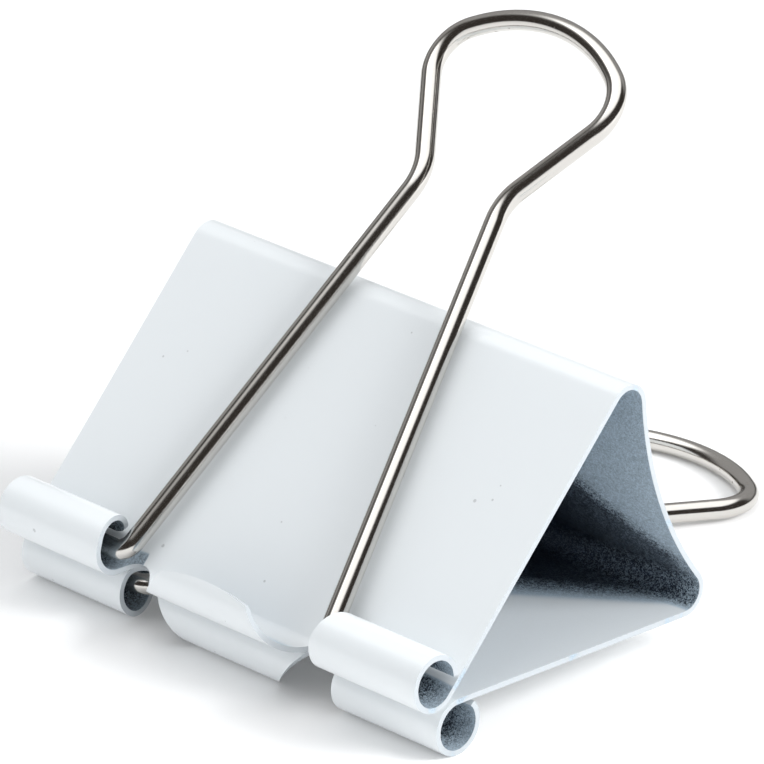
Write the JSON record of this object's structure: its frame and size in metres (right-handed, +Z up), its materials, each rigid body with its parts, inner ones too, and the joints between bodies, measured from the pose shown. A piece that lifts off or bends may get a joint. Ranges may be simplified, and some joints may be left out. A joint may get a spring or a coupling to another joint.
{
  "type": "binder clip",
  "caption": "Large spring-steel binder clip with a folded triangular body, rolled jaw edges and hinged keyhole-shaped wire handles folded back.",
  "frame": {"origin": "on the table, under the middle of the clip's box as it lies with its mouth tilted and both handles folded back", "axes": "+X along the jaws, +Y from the jaws to the spine and the handles' loops, +Z up"},
  "size_m": [0.051, 0.0638, 0.049],
  "materials": {
    "painted_spring": "soft gloss white paint outside, dark steel with white overspray inside",
    "plated_wire": "bright nickel plating"
  },
  "bodies": {
    "lower_jaw": {"lower_jaw": "painted_spring"},
    "upper_jaw": {"upper_jaw": "painted_spring"},
    "lower_handle": {"lower_handle": "plated_wire"},
    "upper_handle": {"upper_handle": "plated_wire"}
  },
  "joints": [
    {"name": "jaw_open", "type": "hinge", "parent": "lower_jaw", "child": "upper_jaw", "pos_m": [0, -0.00161, 0.01544], "axis": [-1, 0, 0], "range_deg": [0, 50], "stiffness_Nm_per_rad": 1, "springref_deg": -22.92},
    {"name": "lower_handle_swing", "type": "hinge", "parent": "lower_jaw", "child": "lower_handle", "pos_m": [0, -0.02683, 0.00309], "axis": [-1, 0, 0], "range_deg": [0, 157]},
    {"name": "upper_handle_swing", "type": "hinge", "parent": "upper_jaw", "child": "upper_handle", "pos_m": [0, -0.02915, 0.00705], "axis": [1, 0, 0], "range_deg": [0, 157]}
  ]
}
